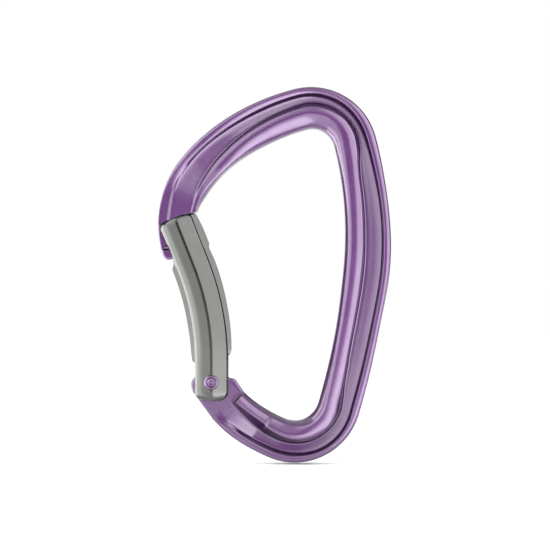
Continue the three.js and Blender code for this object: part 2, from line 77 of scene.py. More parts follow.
# Forged section, as [bend number plus share, millimetres]. Distances are from the middle line, to the left of it
# unless the name says inner; heights are above the middle plane. outer and inner are the vertical edges, a crest is
# a rib's top, a line and a wall are the middle and the half width of a rib's wall towards the web, inner_bevel is
# where the hump's bevel ends, web_tilt is in degrees, and milled is 1 where the hump is cut flat. half_section says
# what the slope, the shares and bevel_early do.
SECTION = {
    "outer": [[0.55, 4.9], [1.2, 5.75], [2, 5.5], [3.2, 5.5], [3.9, 6.2], [4.4, 5.65], [5.3, 5.65], [6, 5.45],
              [6.45, 5.7], [7, 5.1]],
    "inner": [[0.55, 4.8], [0.92, 5.65], [1.2, 5.4], [1.7, 5.8], [2.4, 5.45], [3.9, 6], [4.5, 5.6], [5.5, 5.5],
              [6, 5.7], [6.55, 5.5]],
    "outer_crest": [[0.7, 4.4], [1.17, 4.8], [1.63, 4.85], [2.14, 4.6], [2.5, 4.45], [2.94, 4.15], [3.65, 4.85],
                    [3.9, 5.1], [4.44, 4.65], [5.36, 4.55], [5.98, 4.5], [6.5, 4.5]],
    "outer_line": [[0.6, 2.2], [0.82, 2.8], [1.17, 3.45], [1.63, 3.25], [2.14, 3.5], [2.5, 3.35], [2.94, 3.0],
                   [3.1, 3.1], [3.65, 3.95], [3.9, 4.05], [4.44, 3.55], [4.9, 3.45], [5.36, 3.8], [5.98, 3.15],
                   [6.3, 3.3], [6.6, 3.4]],
    "edge_share": [[0.9, 0.35], [1.7, 0.38], [2.5, 0.6], [6.0, 0.62]],
    "outer_slope": [[0.8, 0.2], [1.2, 0.08], [1.8, 0.3], [2.5, 0.22], [2.94, 0.06], [4.9, 0.06], [5.4, 0.15],
                    [5.9, 0.35]],
    "outer_wall": [[0.75, 0.4], [0.95, 0.2], [1.3, 0.16], [6.4, 0.18], [6.65, 0.4]],
    "inner_line": [[0.7, -3.5], [0.85, -3.1], [1.0, -2.5], [1.08, -2.1], [1.17, -1.65], [1.32, -1.1], [1.48, -0.55],
                   [1.63, -0.1], [1.78, 0.25], [2.14, 0.85], [2.35, 0.92], [2.94, 0.65], [3.05, 0.35],
                   [3.16, -0.55], [3.29, -0.95], [3.65, -1.0], [3.92, -0.9], [4.44, -1.1], [4.79, -0.5],
                   [5.02, 0.5], [5.36, 0.35], [5.6, 0.1], [5.98, -0.5], [6.15, -0.75], [6.18, -1.05], [6.6, -1.6]],
    "inner_wall": [[0.8, 0.2], [1.17, 0.2], [1.63, 0.3], [2.14, 0.42], [2.94, 0.3], [3.3, 0.2], [4.6, 0.2],
                   [5.02, 0.28], [5.36, 0.35], [5.98, 0.6], [6.15, 0.75], [6.18, 0.9], [6.45, 0.6], [6.66, 0.35]],
    "inner_crest": [[0.7, -4.0], [0.82, -3.95], [1.17, -3.5], [1.63, -2.3], [2.14, -1.6], [2.5, -1.6], [2.94, -2.1],
                    [3.3, -3.2], [3.65, -3.55], [4.44, -3.45], [4.9, -2.9], [5.36, -2.0], [5.6, -2.0], [5.98, -2.4],
                    [6.7, -3.0]],
    "inner_bevel": [[0.7, -4.6], [1.17, -4.95], [1.63, -4.3], [2.14, -3.75], [2.5, -4.0], [2.94, -4.75],
                    [3.65, -5.2], [4.44, -4.85], [5.1, -3.9], [5.36, -3.7], [5.6, -4.1], [5.98, -4.6], [6.6, -4.3]],
    "bevel_share": [[0.8, 0.6], [1.17, 0.65], [1.6, 1.0], [2.5, 1.0], [3.2, 0.55], [4.9, 0.55], [5.36, 0.2],
                    [5.6, 0.5], [5.98, 0.85]],
    "bevel_early": [[1.1, 0.1], [1.5, 0.6], [2.3, 0.6], [2.9, 0.1], [5.0, 0.1], [5.4, 0.4], [5.8, 1.0], [6.2, 1.0]],
    "outer_height": [[0.55, 3.56], [0.7, 3.56], [0.8, 3.62], [0.92, 3.8], [1.2, 4.2], [2.5, 4.6], [3.8, 4.4],
                     [5.5, 4.5], [6.1, 3.5], [6.4, 2.6], [6.66, 1.95]],
    "inner_height": [[0.55, 3.56], [0.8, 3.56], [0.95, 3.75], [1.2, 4.5], [2.3, 5.3], [3.8, 5.2], [5.3, 5.3],
                     [6.15, 4.75], [6.17, 4.5], [6.635, 4.3], [6.66, 1.92], [6.7, 1.9]],
    "web": [[0.55, 3.55], [0.7, 3.54], [0.8, 3.4], [0.95, 2.9], [1.1, 2.4], [1.5, 1.6], [5.4, 1.4], [6.0, 0.8],
            [6.222, 0.6], [6.25, 0.68], [6.52, 1.8], [6.57, 1.89], [6.7, 1.9]],
    "web_tilt": [[0.6, 3.0], [1.2, 3.2], [1.6, 6.0], [3.2, 7.3], [3.7, 6.3], [4.4, 6.6], [5.4, 8.5], [5.75, 4.0],
                 [5.98, 0.5], [6.6, 0.0]],
    "milled": [[6.155, 0.0], [6.17, 1.0]],
}
FORGING_START, FORGING_END = 0.3, 6.69  # bend number plus share; the shoulder plane trims the start
FORGING_STEP = 0.36  # millimetres between sections

# Plate inside the gate's fork: circles that one belt goes round, as [x, z, radius].
TANG_HALF = 1.9
TANG_CROWN = (0, 0, 4.1)
TANG_HEEL = (-2.4, -0.9, 3.05)
TANG_EAR = (5.15, -0.7, 1.75)
TANG_FOOT_AT, TANG_FOOT_RADIUS = 6.66, 1.5
TANG_ROUNDING, EAR_ROUNDING = 0.7, 0.55
PLUNGER_REST, PLUNGER_LENGTH = 4.6, 4.3
PLUNGER_LIFT = 1.5  # millimetres for each radian that the gate turns
CAM_GAP = 0.12
CAM_TURN = 35  # degrees of involute, a little more than the gate's travel

# Nose, seen from the rivet as a distance and degrees to the left of straight up.
BULB_HIGH, BULB_LOW = 37.739, 34.039
NECK_HALF, BULB_HALF = 1.1, 1.95
NECK_ROUNDING, BULB_ROUNDING = 0.3, 0.55
NOSE_INNER = 9.8
NOSE_CORNER = 1.6
NOSE_GAP = 0.3
SHOULDER_GAP = 0.12
GATE_SWEEP = 44.93  # radius about the rivet that the gate's end clears

# Gate: its line is a tail, a straight, a bend to the left and a straight, from below the rivet to the nose.
GATE_TIP = (-9.650529, 43.173981, 1.944297)  # x, z and heading
TIP_REACH = math.hypot(GATE_TIP[0], GATE_TIP[1])
GATE_TAIL, GATE_STRAIGHT, GATE_UPPER = 4.85, 5.7, 13.6
GATE_BEND = (68, 21.4)
GATE_WIDTH, GATE_DEPTH, GATE_CORNER, FOOT_CORNER = 9.3, 8.4, 1.5, 2.3
FORK_HALF, FORK_TOP = 2.15, 7.0
BORE_RADIUS, BORE_TOP = 2.1, 19.06
RIVET_RADIUS, HEAD_RADIUS, HEAD_SEAT, HEAD_TOP = 1.5, 1.9, 3.7, 4.35
RUNNING_GAP, PRESS_GAP = 0.09, 0.04
SPRING_SIDE_GAP, SPRING_END_GAP = 0.275, 0.12

# Studio, in metres and degrees. Azimuths run from -Y towards +X. A softbox is its name, azimuths and glow; a
# reflector has its radii and its lift off the floor too.
LENS_MM, SENSOR_MM, FIELD = 200.0, 36, 0.1452  # FIELD is the width that the camera sees at the object
AIM_X, AIM_Z = 0.000132, -0.00005
FLOOR_DROP = 0.0005  # of the floor under the object
SOFTBOX_AWAY, FLAG_AWAY = 1.0, 0.95
LIGHT_ELEVATIONS, FLAG_ELEVATIONS = (-30, 50), (-3.1, 40)
SOFTBOXES = [("right_front", (14, 64), 1.9), ("right_side", (66, 98), 2.9), ("left_front", (-52, -14), 1.6),
             ("left_middle", (-84, -54), 2.4), ("left_side", (-114, -86), 4.4)]
REFLECTORS = [("left_reflector", (-128, -84), 4.2, (0.06, 1.6), 0.0002),
              ("front_left_reflector", (-82, -48), 2.0, (0.06, 1.6), 0.0002),
              ("right_reflector", (8, 78), 1.9, (0.06, 1.6), 0.0002),
              ("near_reflector", (4, 60), 3.0, (0.03, 0.24), 0.0003)]
FLAGS = [("right_flag", (104, 163)), ("left_flag", (-163, -122))]


# ---------------- curves and routes

def smooth(pairs, at):
    """Value at each place of a line through the pairs. Between two pairs it is a cubic whose slopes at the pairs
    are the harmonic mean of the slopes on each side, or level at a turning point and at the ends."""
    xs, ys = np.array(pairs, float).T
    step = np.diff(ys) / np.diff(xs)
    both = step[1:] * step[:-1]
    total = step[1:] + step[:-1]
    slope = np.zeros(len(xs))
    slope[1:-1] = np.where(both > 0, 2 * both / np.where(total == 0, 1, total), 0)
    at = np.clip(np.asarray(at, float), xs[0], xs[-1])
    i = np.clip(np.searchsorted(xs, at, side="right") - 1, 0, len(xs) - 2)
    span = xs[i + 1] - xs[i]
    t = (at - xs[i]) / span
    u = 1 - t
    return (ys[i] * u * u * (1 + 2 * t) + ys[i + 1] * t * t * (3 - 2 * t)
            + span * t * u * (slope[i] * u - slope[i + 1] * t))


class Route:
    """A line of constant-curvature runs in the XZ plane. Along a run the heading grows evenly with distance, and
    the place is the run's start plus the sine and cosine differences of the heading over the curvature."""

    def __init__(self, runs, start, heading):
        """runs holds (length, curvature) pairs, with curvature positive to the left."""
        self.runs = np.array(runs, float)
        self.joints = np.zeros((len(runs) + 1, 3))
        self.joints[0] = (*start, heading)
        for i in range(len(runs)):
            self.joints[i + 1] = self._walk(self.joints[i], *self.runs[i])
        self.marks = np.concatenate([[0], np.cumsum(self.runs[:, 0])])

    @staticmethod
    def _walk(joint, length, curvature):
        """x, z and heading after that length of that curvature."""
        x, z, a = np.moveaxis(np.asarray(joint, float), -1, 0)
        bent = np.abs(curvature) > 1e-9
        k = np.where(bent, curvature, 1)
        b = a + curvature * length
        dx = np.where(bent, (np.sin(b) - np.sin(a)) / k, length * np.cos(a))
        dz = np.where(bent, (np.cos(a) - np.cos(b)) / k, length * np.sin(a))
        return np.stack([x + dx, z + dz, b], -1)

    def at(self, place):
        """x, z and heading at run number plus share."""
        place = np.asarray(place, float)
        i = np.clip(np.floor(place).astype(int), 0, len(self.runs) - 1)
        return self._walk(self.joints[i], self.runs[i, 0] * (place - i), self.runs[i, 1])

    def along(self, distance):
        """x, z and heading at a distance from the start."""
        distance = np.asarray(distance, float)
        i = np.clip(np.searchsorted(self.marks, distance, side="right") - 1, 0, len(self.runs) - 1)
        return self._walk(self.joints[i], distance - self.marks[i], self.runs[i, 1])

    def places(self, first, last, step):
        """Run numbers plus share from first to last, about step millimetres apart."""
        found = []
        for i in range(int(first), int(math.ceil(last))):
            low, high = max(first, i), min(last, i + 1)
            count = max(2, int(self.runs[i, 0] * (high - low) / step))
            found.append(np.linspace(low, high, count, endpoint=False))
        return np.concatenate([*found, [last]])


def beside(line, offset):
    """x, z of points that far to the left of a line's points."""
    x, z, a = np.moveaxis(line, -1, 0)
    return np.stack([x - np.sin(a) * offset, z + np.cos(a) * offset], -1)


BODY_ROUTE = Route([(r * math.radians(d), -1 / r) for r, d in BENDS], ARM_START, ARM_HEADING)
GATE_ROUTE = Route(
    [(GATE_TAIL + GATE_STRAIGHT, 0), (GATE_BEND[0] * math.radians(GATE_BEND[1]), 1 / GATE_BEND[0]), (GATE_UPPER, 0)],
    (0, -GATE_TAIL), math.pi / 2)
GATE_LENGTH = GATE_ROUTE.marks[-1] - GATE_TAIL


def gate_line(distance):
    """x, z and heading of the gate's line at a distance above the rivet."""
    return GATE_ROUTE.along(np.asarray(distance, float) + GATE_TAIL)


# ---------------- surfaces

def loft(name, rings, slot=None, body=None):
    """A closed surface on a grid: rings, (rows, points, 3) in millimetres from the rivet, joined row to row by
    quads, with a fan of triangles round the mean point of each end ring."""
    rings = np.asarray(rings, float)
    rows, count = rings.shape[:2]
    points = rings.reshape(-1, 3)
    r, c = np.meshgrid(np.arange(rows - 1), np.arange(count), indexing="ij")
    n = (c + 1) % count
    quads = np.stack([r * count + c, r * count + n, (r + 1) * count + n, (r + 1) * count + c], -1).reshape(-1, 4)
    c = np.arange(count)
    n = (c + 1) % count
    base, last = len(points), (rows - 1) * count
    faces = (quads.tolist() + np.stack([np.full(count, base), n, c], -1).tolist()
             + np.stack([np.full(count, base + 1), last + c, last + n], -1).tolist())
    points = np.vstack([points, [rings[0].mean(0), rings[-1].mean(0)]])
    return solid(name, points, faces, slot, body)


def solid(name, points, faces, slot, body):
    """A mesh object with its faces outwards: they are turned if the volume that they enclose is negative. Points
    are in millimetres from the rivet. Without a slot it is only a cutter or a part of a union."""
    place = (np.asarray(points) * MM + np.array(RIVET)).astype(np.float32)
    mesh = bpy.data.meshes.new(name)
    mesh.from_pydata(place, [], faces)
    mesh.update()
    if signed_volume(mesh) < 0:
        mesh.flip_normals()
    obj = bpy.data.objects.new(name, mesh)
    bpy.context.scene.collection.objects.link(obj)
    mesh.shade_smooth()
    if slot:
        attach(obj, body)
    return obj


def signed_volume(mesh):
    """Sum over triangles of the volume of the tetrahedron that each makes with the first point."""
    mesh.calc_loop_triangles()
    co = np.zeros(len(mesh.vertices) * 3)
    mesh.vertices.foreach_get("co", co)
    index = np.zeros(len(mesh.loop_triangles) * 3, int)
    mesh.loop_triangles.foreach_get("vertices", index)
    a, b, c = (co.reshape(-1, 3) - co[:3])[index.reshape(-1, 3)].transpose(1, 0, 2)
    return float(np.einsum("ij,ij->", a, np.cross(b, c))) / 6


def rounded_plate(name, outline, half, rounding, steps=5):
    """A flat plate about the middle plane with rounded rims. Each ring is the outline moved inwards along its
    normals by r(1 - cos f) at height half - r(1 - sin f), f from 90 to 0 degrees, then the same below. A first
    and a last ring 0.05 mm further in lie in the flat faces."""
    outline = np.asarray(outline, float)
    side = np.roll(outline, -1, 0) - np.roll(outline, 1, 0)
    side /= np.maximum(np.linalg.norm(side, axis=1, keepdims=True), 1e-9)
    area = np.sum(outline[:, 0] * np.roll(outline[:, 1], -1) - np.roll(outline[:, 0], -1) * outline[:, 1])
    inward = np.stack([-side[:, 1], side[:, 0]], -1) * (1 if area > 0 else -1)
    f = np.linspace(math.pi / 2, 0, steps)
    inset = rounding * (1 - np.cos(f))
    height = half - rounding * (1 - np.sin(f))
    inset = np.concatenate([[inset[0] + 0.05], inset])
    height = np.concatenate([[half], height])
    inset = np.concatenate([inset, inset[::-1]])
    height = np.concatenate([height, -height[::-1]])
    flat = outline[None] + inward[None] * inset[:, None, None]
    y = np.broadcast_to(height[:, None], flat.shape[:2])
    return loft(name, np.stack([flat[..., 0], y, flat[..., 1]], -1))


def turned(name, profile, sides, axis, slot=None, body=None):
    """A surface of revolution: [radius, place along the axis] pairs carried round the Y or Z axis."""
    radius, along = np.array(profile, float).T
    a = np.linspace(0, 2 * math.pi, sides, endpoint=False)
    u, v = radius[:, None] * np.cos(a), radius[:, None] * np.sin(a)
    w = np.broadcast_to(along[:, None], u.shape)
    return loft(name, np.stack([u, w, v] if axis == "Y" else [u, v, w], -1), slot, body)


def block(name, corners, half):
    """A box: four x, z corners in millimetres from the rivet, carried from -half to half."""
    return loft(name, np.array([[(x, y, z) for x, z in corners] for y in (-half, half)], float))


def carve(target, cutter, operation):
    """Adds, subtracts or keeps the cutter's solid, then removes the cutter."""
    modifier = target.modifiers.new(cutter.name, "BOOLEAN")
    modifier.operation = operation
    modifier.object = cutter
    modifier.solver = "MANIFOLD"
    bpy.context.view_layer.update()
    settle(target)
    old = cutter.data
    bpy.data.objects.remove(cutter)
    bpy.data.meshes.remove(old)


def settle(obj):
    """Applies an object's modifiers to its mesh."""
    graph = bpy.context.evaluated_depsgraph_get()
    made = bpy.data.meshes.new_from_object(obj.evaluated_get(graph), preserve_all_data_layers=True, depsgraph=graph)
    old = obj.data
    obj.modifiers.clear()
    obj.data = made
    made.name = obj.name
    bpy.data.meshes.remove(old)


def crease(obj, degrees):
    """Smooth shading with a hard line wherever two faces meet at more than the angle."""
    obj.data.shade_smooth()
    obj.data.set_sharp_from_angle(angle=math.radians(degrees))


def spline_ring(polygon, per_span):
    """Closed cubic B-spline on closed control polygons, (rows, points, 2), per_span points for each span."""
    t = np.arange(per_span) / per_span
    weights = np.stack([(1 - t) ** 3, 3 * t**3 - 6 * t**2 + 4, -3 * t**3 + 3 * t**2 + 3 * t + 1, t**3], 0) / 6
    shifted = np.stack([np.roll(polygon, k, 1) for k in (1, 0, -1, -2)], 0)
    return np.einsum("kt,kapc->aptc", weights, shifted).reshape(len(polygon), -1, 2)


# ---------------- body

def half_section(at):
    """Control polygon of half the section at each place, from the outer edge to the inner one, as (places,
    points, 2) of distance from the middle line and height above the middle plane. From outside: a vertical edge,
    a bevel up to the outer crest, a short slope down to a steep wall, a fillet, the web, another fillet and wall,
    a hump whose height falls by d squared over 60 plus 0.022 d to the fourth at d from its crest, a bevel, a steep
    flank and the vertical inner edge. The outer bevel falls by edge_share of its width and the slope by outer_slope
    of its own; the hump's bevel falls by a third of bevel_share of its width, at its end only where bevel_early is 0
    and evenly where it is 1. A rib's steps shrink where it stands less than 1.2 mm above the web."""
    c = {name: smooth(pairs, at) for name, pairs in SECTION.items()}
    o, oc, ol, ow = c["outer"], c["outer_crest"], c["outer_line"], c["outer_wall"]
    i, ic, il, iw, ib = -c["inner"], c["inner_crest"], c["inner_line"], c["inner_wall"], c["inner_bevel"]
    ho, hi, w, flat = c["outer_height"], c["inner_height"], c["web"], c["milled"]
    lean = np.tan(np.radians(c["web_tilt"]))
    middle = (ol + il) / 2
    wo = w + lean * (ol - middle)
    wi = w + lean * (il - middle)
    fade = np.clip((ho - w) / 1.2, 0, 1)
    edge_drop = c["edge_share"] * (o - oc) * fade
    slope_drop = c["outer_slope"] * np.maximum(oc - ol - ow, 0) * fade
    top = ol + ow
    foot = ol - ow
    rise = np.clip((hi - w) / 1.2, 0, 1)
    start = il - iw
    back = start - ic

    def hump(share):
        """Height at a share of the way from the crest to the wall; 0.12 mm under the crest where it is milled."""
        d = share * back
        return hi - rise * ((1 - flat) * (d**2 / 60 + 0.022 * d**4) + flat * 0.12)

    fall = (ic - ib) * rise * c["bevel_share"]
    flank = ib - i
    points = [
        # outer edge and bevel
        (o, 0 * at), (o, 0.45 * (ho - edge_drop)), (o, 0.8 * (ho - edge_drop)), (o - 0.06, ho - edge_drop - 0.12),
        (o - 0.3 * (o - oc), ho - 0.62 * edge_drop), (oc + 0.42 * (o - oc), ho - 0.14 * edge_drop),
        # outer crest, slope and wall
        (oc + 0.12 * (o - oc), ho), (oc + 0.2 * (top - oc), ho), (oc + 0.65 * (top - oc), ho - 0.4 * slope_drop),
        (top + 0.1, ho - slope_drop), (top - 0.03, ho - slope_drop - 0.25 * fade),
        (foot + 0.05, wo + 0.55 * fade), (foot - 0.12, wo + 0.12 * fade),
        # web
        (foot - 0.45, wo), (middle + 0.4, w + 0.4 * lean), (middle - 0.4, w - 0.4 * lean), (il + iw + 0.4, wi),
        # inner wall and hump
        (il + iw + 0.08, wi + 0.12 * rise), (il + iw - 0.06, wi + 0.5 * rise), (start + 0.05, hump(1.0) - 0.3 * rise),
        (start - 0.08, hump(0.97)), (ic + 0.62 * back, hump(0.62)), (ic + 0.3 * back, hump(0.3)), (ic, hi),
        # inner bevel, flank and edge
        (ic - 0.35 * (ic - ib), hi - (0.01 + 0.09 * c["bevel_early"]) * fall),
        (ic - 0.7 * (ic - ib), hi - (0.09 + 0.13 * c["bevel_early"]) * fall),
        (ib + 0.02, hi - 0.33 * fall - 0.05 * rise), (i + 0.35 * flank, 0.66 * hi), (i, 0.42 * hi), (i, 0 * at),
    ]
    half = np.stack([np.stack(np.broadcast_arrays(*p), -1) for p in points], 1)
    inside = slice(8, 23)  # from the outer slope to the hump's crest, none lies below the web's lower edge
    half[:, inside, 1] = np.maximum(half[:, inside, 1], np.minimum(wi, wo)[:, None])
    return half


def section_rings(at, per_span=3):
    """The section's smooth outline: a closed cubic B-spline on the mirrored control polygon, per_span points for
    each of its spans."""
    half = half_section(at)
    mirrored = half[:, 1:-1][:, ::-1] * np.array([1, -1])
    polygon = np.concatenate([half, mirrored], 1)
    return spline_ring(polygon, per_span)


def forging():
    """The body's bar: its section at each place, set square to the middle line."""
    at = BODY_ROUTE.places(FORGING_START, FORGING_END, FORGING_STEP)
    flat = section_rings(at)
    line = BODY_ROUTE.at(at)
    xz = beside(line[:, None, :], flat[..., 0])
    return loft("body_forged", np.stack([xz[..., 0], flat[..., 1], xz[..., 1]], -1), "body_anodised", "frame")


def belt(circles, step=6):
    """Outline of a belt round circles in anticlockwise order: an arc on each, from one straight to the next."""
    outline = []
    tangents = []
    for i, (x, z, r) in enumerate(circles):
        x1, z1, r1 = circles[(i + 1) % len(circles)]
        dx, dz = x1 - x, z1 - z
        tangents.append(math.atan2(dz, dx) - math.pi / 2 - math.asin((r1 - r) / math.hypot(dx, dz)))
    for i, (x, z, r) in enumerate(circles):
        start = tangents[i - 1]
        sweep = (tangents[i] - start) % (2 * math.pi)
        a = start + np.linspace(0, sweep, max(2, int(math.degrees(sweep) / step) + 1))
        outline.append(np.stack([x + r * np.cos(a), z + r * np.sin(a)], -1))
    return np.concatenate(outline)


def evened(outline, step):
    """The same closed outline with points about step millimetres apart."""
    ring = np.vstack([outline, outline[:1]])
    walked = np.concatenate([[0], np.cumsum(np.linalg.norm(np.diff(ring, axis=0), axis=1))])
    place = np.linspace(0, walked[-1], int(walked[-1] / step), endpoint=False)
    return np.stack([np.interp(place, walked, ring[:, k]) for k in (0, 1)], -1)


def tang(half):
    """Plate inside the fork: a belt round four circles, one round three for its ear, and the cam that lifts the
    plunger: an involute whose reach in each turned direction is the plunger's rest height less the gap, plus the
    lift times the turn."""
    foot = BODY_ROUTE.at(TANG_FOOT_AT)
    outer = beside(foot, smooth(SECTION["outer"], TANG_FOOT_AT) - TANG_FOOT_RADIUS)
    inner = beside(foot, TANG_FOOT_RADIUS - smooth(SECTION["inner"], TANG_FOOT_AT))
    outer, inner = (*outer, TANG_FOOT_RADIUS), (*inner, TANG_FOOT_RADIUS)
    plate = rounded_plate("tang_plate", evened(belt([outer, inner, TANG_CROWN, TANG_HEEL]), 0.3), half, TANG_ROUNDING)
    ear = rounded_plate("tang_ear", evened(belt([outer, inner, TANG_EAR]), 0.25), half - 0.001, EAR_ROUNDING)
    carve(plate, ear, "UNION")
    turn = np.radians(np.linspace(CAM_TURN, 0, 24))
    reach = PLUNGER_REST - CAM_GAP + PLUNGER_LIFT * turn
    cam = np.stack([reach * np.sin(turn) + PLUNGER_LIFT * np.cos(turn),
                    reach * np.cos(turn) - PLUNGER_LIFT * np.sin(turn)], -1)
    cam = np.vstack([[[0, 0]], cam, [[0, TANG_CROWN[2]]]])
    lobe = rounded_plate("tang_cam", cam, half, 0.02)
    carve(plate, lobe, "UNION")
    return plate


def reach_angle(reach):
    """Degrees left of straight up, seen from the rivet, of the arm's outer edge at each distance."""
    share = np.linspace(0, 1, 2000)
    edge = beside(BODY_ROUTE.at(share), smooth(SECTION["outer"], share))
    far = np.hypot(edge[:, 0], edge[:, 1])
    return np.interp(reach, far, np.degrees(np.arctan2(-edge[:, 0], edge[:, 1])))


def polar(reach, degrees):
    """x, z at those distances from the rivet and degrees to the left of straight up."""
    a = np.radians(degrees)
    return np.stack([-reach * np.sin(a), reach * np.cos(a)], -1)


def nose_outline(low, high, corner):
    """The nose between two distances from the rivet: its back goes on from the arm's outer edge, a quarter turn
    rounds its lower corner, and its other sides are an arc and a radius."""
    start = reach_angle(low + corner)
    turn = math.degrees(corner / low)
    reach = np.linspace(high, low + corner, 24)
    back = polar(reach, reach_angle(reach))
    a = np.linspace(0, math.pi / 2, 10)[1:]
    round_off = polar(low + corner * (1 - np.sin(a)), start - turn * (1 - np.cos(a)))
    foot = polar(np.full(12, low), np.linspace(start - turn, NOSE_INNER, 13)[1:])
    front = polar(np.linspace(low, high, 8)[1:], np.full(7, NOSE_INNER))
    top = polar(np.full(12, high), np.linspace(NOSE_INNER, reach_angle(high), 14)[1:-1])
    return np.vstack([back, round_off, foot, front, top])


def above_gate(gap):
    """Block over the gate's flat end, square to the gate's upper part."""
    x, z, a = GATE_TIP
    along, side = np.array([math.cos(a), math.sin(a)]), np.array([-math.sin(a), math.cos(a)])
    start = np.array([x, z]) + gap * along
    corners = [start + u * along + v * side for u, v in ((0, -30), (60, -30), (60, 30), (0, 30))]
    return block("above_gate", corners, 20)


def trim_block():
    """Block over the start of the forging, from below the shoulder to well above it."""
    corners = [(-30, 20), (0, 20), (0, GATE_TIP[1] + 10), (-30, GATE_TIP[1] + 10)]
    return block("below_shoulder", corners, 20)


def make_body(tang_half):
    """The body: the forging, trimmed to a flat shoulder and to the circle that the gate's end sweeps, then joined
    with the nose's neck and bulb and the tang, and bored for the rivet."""
    body = forging()
    trim = trim_block()
    carve(trim, above_gate(SHOULDER_GAP), "DIFFERENCE")
    carve(trim, turned("gate_sweep", [[GATE_SWEEP, -19], [GATE_SWEEP, 19]], 256, "Y"), "INTERSECT")
    carve(body, trim, "DIFFERENCE")
    neck = rounded_plate("nose_neck", evened(nose_outline(BULB_HIGH - 1, TIP_REACH + 2, 0.5), 0.25), NECK_HALF,
                         NECK_ROUNDING)
    bulb = rounded_plate("nose_bulb", evened(nose_outline(BULB_LOW, BULB_HIGH, NOSE_CORNER), 0.2), BULB_HALF,
                         BULB_ROUNDING)
    carve(neck, bulb, "UNION")
    carve(body, neck, "UNION")
    carve(body, tang(tang_half), "UNION")
    bore = turned("bore", [[RIVET_RADIUS + RUNNING_GAP, -10], [RIVET_RADIUS + RUNNING_GAP, 10]], 64, "Y")
    carve(body, bore, "DIFFERENCE")
    crease(body, 32)
    return body


# ---------------- gate

# Half of the bar's section above the middle plane, from its left edge over a narrow flat crown to its right edge.
BAR_SECTION = [(4.65, 0), (4.65, 0.9), (4.63, 1.6), (4.35, 2.2), (3.9, 2.72), (3.45, 3.14), (2.7, 3.52), (1.8, 3.83),
               (1.0, 4.05), (0.54, 4.155), (0.4, 4.185), (0.2, 4.2), (-0.2, 4.2), (-0.4, 4.185), (-0.54, 4.155),
               (-1.0, 4.05), (-1.9, 3.79), (-3.0, 3.44), (-3.6, 3.24), (-3.95, 3.05), (-4.3, 2.65), (-4.58, 1.85),
               (-4.65, 1.1), (-4.65, 0)]


def gate_bar(width, depth):
    """The bar: its section carried along the gate's line, drawn in at both ends along a quarter circle."""
    quarter = np.linspace(0, math.pi / 2, 8)
    low = -GATE_TAIL + FOOT_CORNER * (1 - np.cos(quarter))
    high = GATE_LENGTH - GATE_CORNER * (1 - np.cos(quarter[::-1]))
    middle = np.linspace(low[-1], high[0], 150)[1:-1]
    along = np.concatenate([low, middle, high])
    corner = np.where(along < GATE_STRAIGHT, FOOT_CORNER, GATE_CORNER)
    inset = np.minimum(np.minimum(along + GATE_TAIL, GATE_LENGTH - along), corner)
    draw = corner - np.sqrt(np.maximum(corner**2 - (corner - inset) ** 2, 0))
    half = np.array(BAR_SECTION, float) * [width / GATE_WIDTH, depth / GATE_DEPTH]
    polygon = np.vstack([half, half[-2:0:-1] * [1, -1]])
    ring = spline_ring(polygon[None], 4)[0]
    t = ring[:, 0] * (1 - draw / (width / 2))[:, None]
    y = ring[:, 1] * (1 - 0.3 * draw / (depth / 2))[:, None]
    xz = beside(gate_line(along)[:, None, :], t)
    return loft("gate_bar", np.stack([xz[..., 0], y, xz[..., 1]], -1), "gate_anodised", "gate")


def gate_fin(name, side, reach, root_half):
    """Rib along one side of the bar. Its rim stands at reach(distance) from the gate's line; its section is a blunt
    wedge whose half thickness falls from root to rim."""
    along = np.linspace(reach[0][0], reach[-1][0], 120)
    out = smooth(reach, along)
    root = GATE_WIDTH / 2 - 1.6
    f = np.array([[0, 1.0], [0.3, 0.98], [0.98, 0.66], [1.0, 0.63], [1.0, 0.0]])
    f = np.vstack([f, f[::-1][1:] * [1, -1]])
    t = side * (root + (out[:, None] - root) * f[None, :, 0])
    y = root_half * f[None, :, 1] + 0 * t
    xz = beside(gate_line(along)[:, None, :], t)
    return loft(name, np.stack([xz[..., 0], y, xz[..., 1]], -1))


def slot_plate(name, low, high, half):
    """Room in the gate for part of the nose, open towards the outer side."""
    inner = NOSE_INNER - math.degrees(2 * NOSE_GAP / low)
    outer = NOSE_INNER + 30
    sweep = np.linspace(outer, inner, 24)
    outline = np.vstack([polar(np.full(24, low - NOSE_GAP), sweep),
                         polar(np.full(24, high + NOSE_GAP), sweep[::-1])])
    return rounded_plate(name, outline, half + NOSE_GAP, 0.02, 2)


